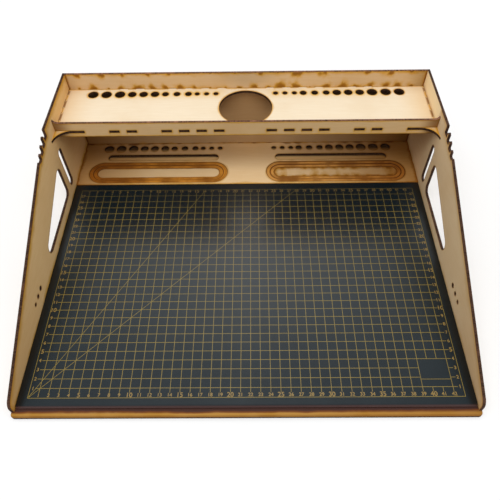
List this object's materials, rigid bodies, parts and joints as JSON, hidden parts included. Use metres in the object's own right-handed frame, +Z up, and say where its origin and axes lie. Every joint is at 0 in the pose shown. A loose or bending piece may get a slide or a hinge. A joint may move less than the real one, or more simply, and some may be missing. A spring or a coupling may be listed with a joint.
{
  "type": "hobby workstation",
  "caption": "Flat-pack desktop workstation with sloped slotted sides round a cutting mat, a rear deck with tool sockets and trays, and an upper shelf with tool holes and a pot hole.",
  "frame": {"origin": "middle of the base board's underside", "axes": "+X to the user's right, +Y from the user to the rear panel, +Z up"},
  "size_m": [0.457, 0.393, 0.1185],
  "materials": {
    "board": "bare cut board with scorched edges",
    "mat": "matte printed mat"
  },
  "bodies": {
    "frame": {"base_board": "board", "left_side_panel": "board", "right_side_panel": "board", "rear_panel": "board", "rear_deck": "board", "upper_shelf": "board", "shelf_fascia": "board"},
    "mat": {"cutting_mat": "mat"}
  },
  "joints": [
    {"name": "mat_slide", "type": "slide", "parent": "frame", "child": "mat", "axis": [0, -1, 0], "range_m": [0, 0.3]}
  ]
}
